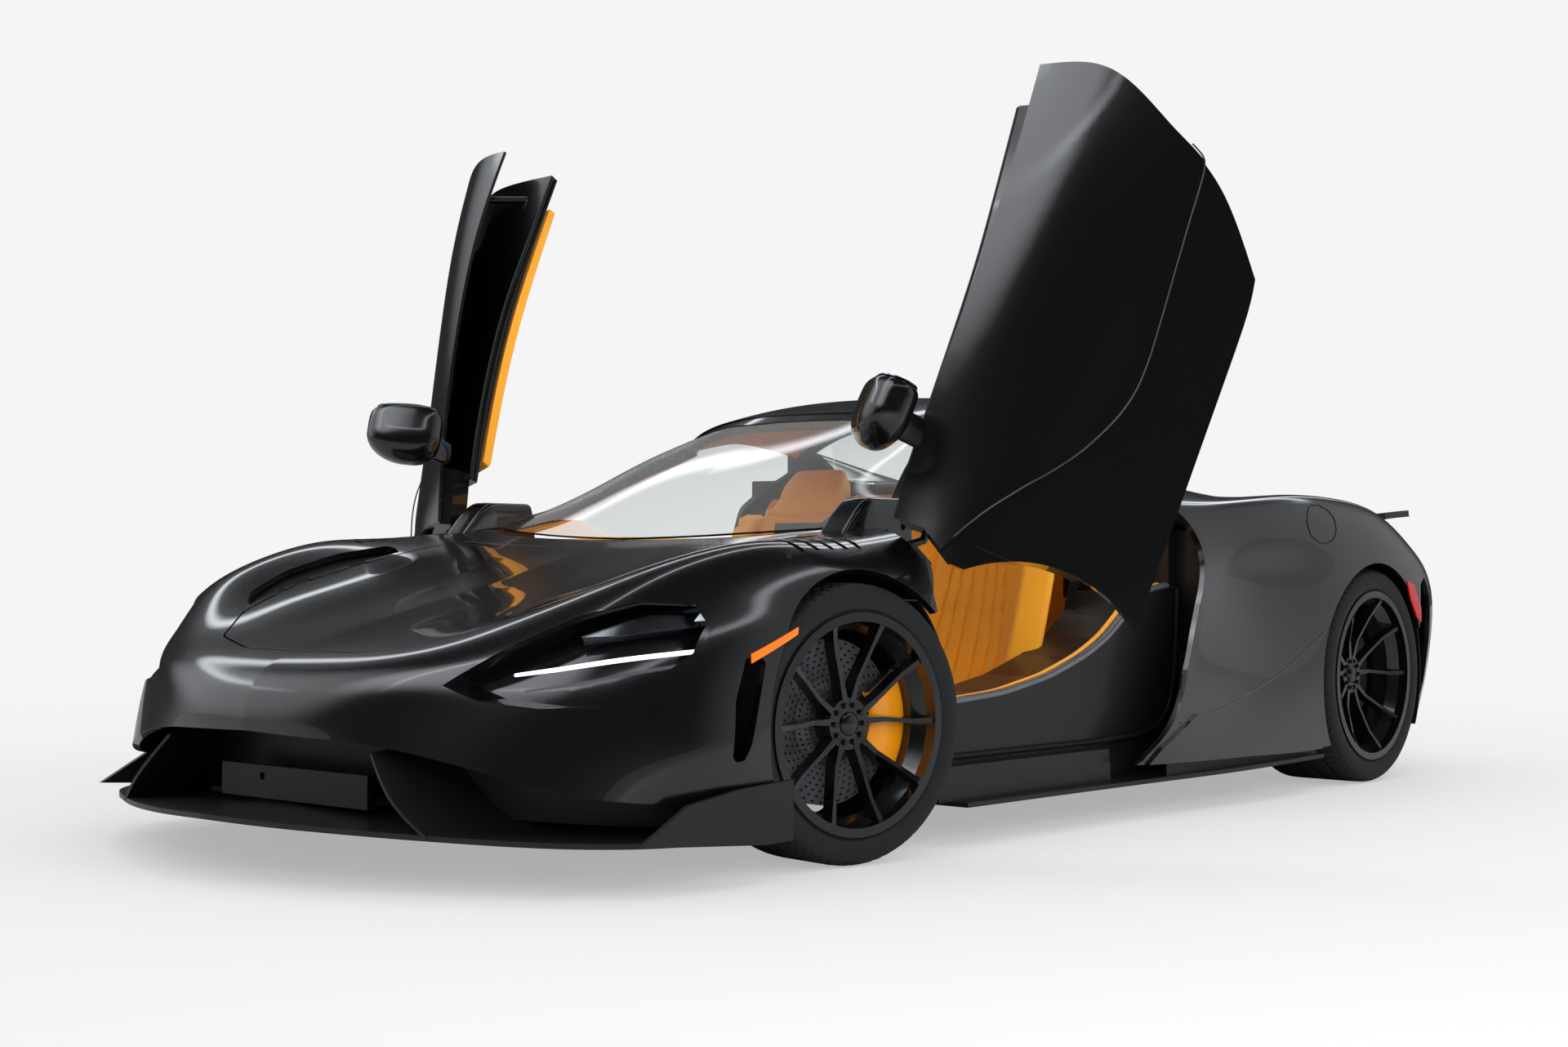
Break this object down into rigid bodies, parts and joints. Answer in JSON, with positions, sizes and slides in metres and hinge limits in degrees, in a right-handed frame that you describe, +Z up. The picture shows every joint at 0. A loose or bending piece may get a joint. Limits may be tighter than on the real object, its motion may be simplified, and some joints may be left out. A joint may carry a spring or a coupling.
{
  "type": "sports car",
  "caption": "Low two-seat mid-engined supercar with upward-swinging doors, a front luggage lid, steered front wheels and ten-spoke rims.",
  "frame": {"origin": "on the ground, midway between the body's ends and sides", "axes": "+X is the car's left, -Y its front, +Z up"},
  "size_m": [2.8884, 4.5845, 1.9643],
  "materials": {
    "painted": "black gloss paint",
    "carbon": "lacquered carbon fibre",
    "plastic": "moulded black plastic",
    "glass": "clear glazing",
    "lens": "dark lamp moulding",
    "alloy": "black cast alloy",
    "casting": "cast alloy",
    "disc": "drilled brake disc",
    "rubber": "road tyre rubber",
    "hide": "yellow-orange hide",
    "engine": "engine castings",
    "pipe": "exhaust tube"
  },
  "bodies": {
    "chassis": {"arch_liners": "plastic", "console": "plastic", "cowl": "carbon", "dashboard": "plastic", "diffuser": "carbon", "engine": "engine", "exhausts": "pipe", "front_clam": "painted", "front_frame": "casting", "front_grille": "plastic", "front_wishbones": "casting", "headlamp_units": "lens", "headlamps": "lens", "luggage_well": "plastic", "plate_plinth": "plastic", "quarter_panels": "painted", "rear_deck": "painted", "rear_fascia": "painted", "rear_frame": "casting", "rear_hoop": "painted", "rear_screen": "glass", "rear_tray": "plastic", "rear_uprights": "casting", "rear_wing": "carbon", "rear_wishbones": "casting", "roof_panel": "painted", "screen_frame": "painted", "seat_left": "hide", "seat_right": "hide", "side_markers": "lens", "side_skirts": "carbon", "splitter": "carbon", "tail_lamps": "lens", "tub": "carbon", "windscreen": "glass"},
    "door_left": {"door_left_shell": "painted", "door_left_trim": "hide", "mirror_left": "painted"},
    "door_right": {"door_right_shell": "painted", "door_right_trim": "hide", "mirror_right": "painted"},
    "hood": {"hood_lid": "painted"},
    "steering_wheel": {"steering_wheel": "plastic"},
    "knuckle_left": {"knuckle_front_left": "casting"},
    "knuckle_right": {"knuckle_front_right": "casting"},
    "wheel_front_left": {"disc_front_left": "disc", "rim_front_left": "alloy", "tyre_front_left": "rubber"},
    "wheel_front_right": {"disc_front_right": "disc", "rim_front_right": "alloy", "tyre_front_right": "rubber"},
    "wheel_rear_left": {"disc_rear_left": "disc", "rim_rear_left": "alloy", "tyre_rear_left": "rubber"},
    "wheel_rear_right": {"disc_rear_right": "disc", "rim_rear_right": "alloy", "tyre_rear_right": "rubber"}
  },
  "joints": [
    {"name": "door_left_swing", "type": "hinge", "parent": "chassis", "child": "door_left", "pos_m": [0.676, -0.811, 0.8], "axis": [-0.822, 0.358, 0.443], "range_deg": [0, 75.8]},
    {"name": "door_right_swing", "type": "hinge", "parent": "chassis", "child": "door_right", "pos_m": [-0.676, -0.811, 0.8], "axis": [-0.822, -0.358, -0.443], "range_deg": [0, 75.8]},
    {"name": "hood_lift", "type": "hinge", "parent": "chassis", "child": "hood", "pos_m": [0, -1.052, 0.748], "axis": [-1, 0, 0], "range_deg": [0, 60]},
    {"name": "steer_left", "type": "hinge", "parent": "chassis", "child": "knuckle_left", "pos_m": [0.775, -1.141, 0.327], "axis": [0, 0, 1], "range_deg": [-22, 41.8]},
    {"name": "steer_right", "type": "hinge", "parent": "chassis", "child": "knuckle_right", "pos_m": [-0.775, -1.141, 0.327], "axis": [0, 0, 1], "range_deg": [-22, 41.8]},
    {"name": "steering_wheel_turn", "type": "hinge", "parent": "chassis", "child": "steering_wheel", "pos_m": [0.355, -0.385, 0.665], "axis": [0, 0.9207, 0.3903], "range_deg": [-600, 600]},
    {"name": "wheel_front_left_spin", "type": "hinge", "parent": "knuckle_left", "child": "wheel_front_left", "pos_m": [0.82721, -1.15011, 0.327], "axis": [0.9851, -0.1719, 0], "continuous": true},
    {"name": "wheel_front_right_spin", "type": "hinge", "parent": "knuckle_right", "child": "wheel_front_right", "pos_m": [-0.82721, -1.13189, 0.327], "axis": [0.9851, -0.1719, 0], "continuous": true},
    {"name": "wheel_rear_left_spin", "type": "hinge", "parent": "chassis", "child": "wheel_rear_left", "pos_m": [0.802, 1.529, 0.3455], "axis": [1, 0, 0], "continuous": true},
    {"name": "wheel_rear_right_spin", "type": "hinge", "parent": "chassis", "child": "wheel_rear_right", "pos_m": [-0.802, 1.529, 0.3455], "axis": [1, 0, 0], "continuous": true}
  ],
  "couplings": [
    {"joint": "steer_right", "follows": "steer_left", "ratio": 1},
    {"joint": "steering_wheel_turn", "follows": "steer_left", "ratio": 14}
  ]
}
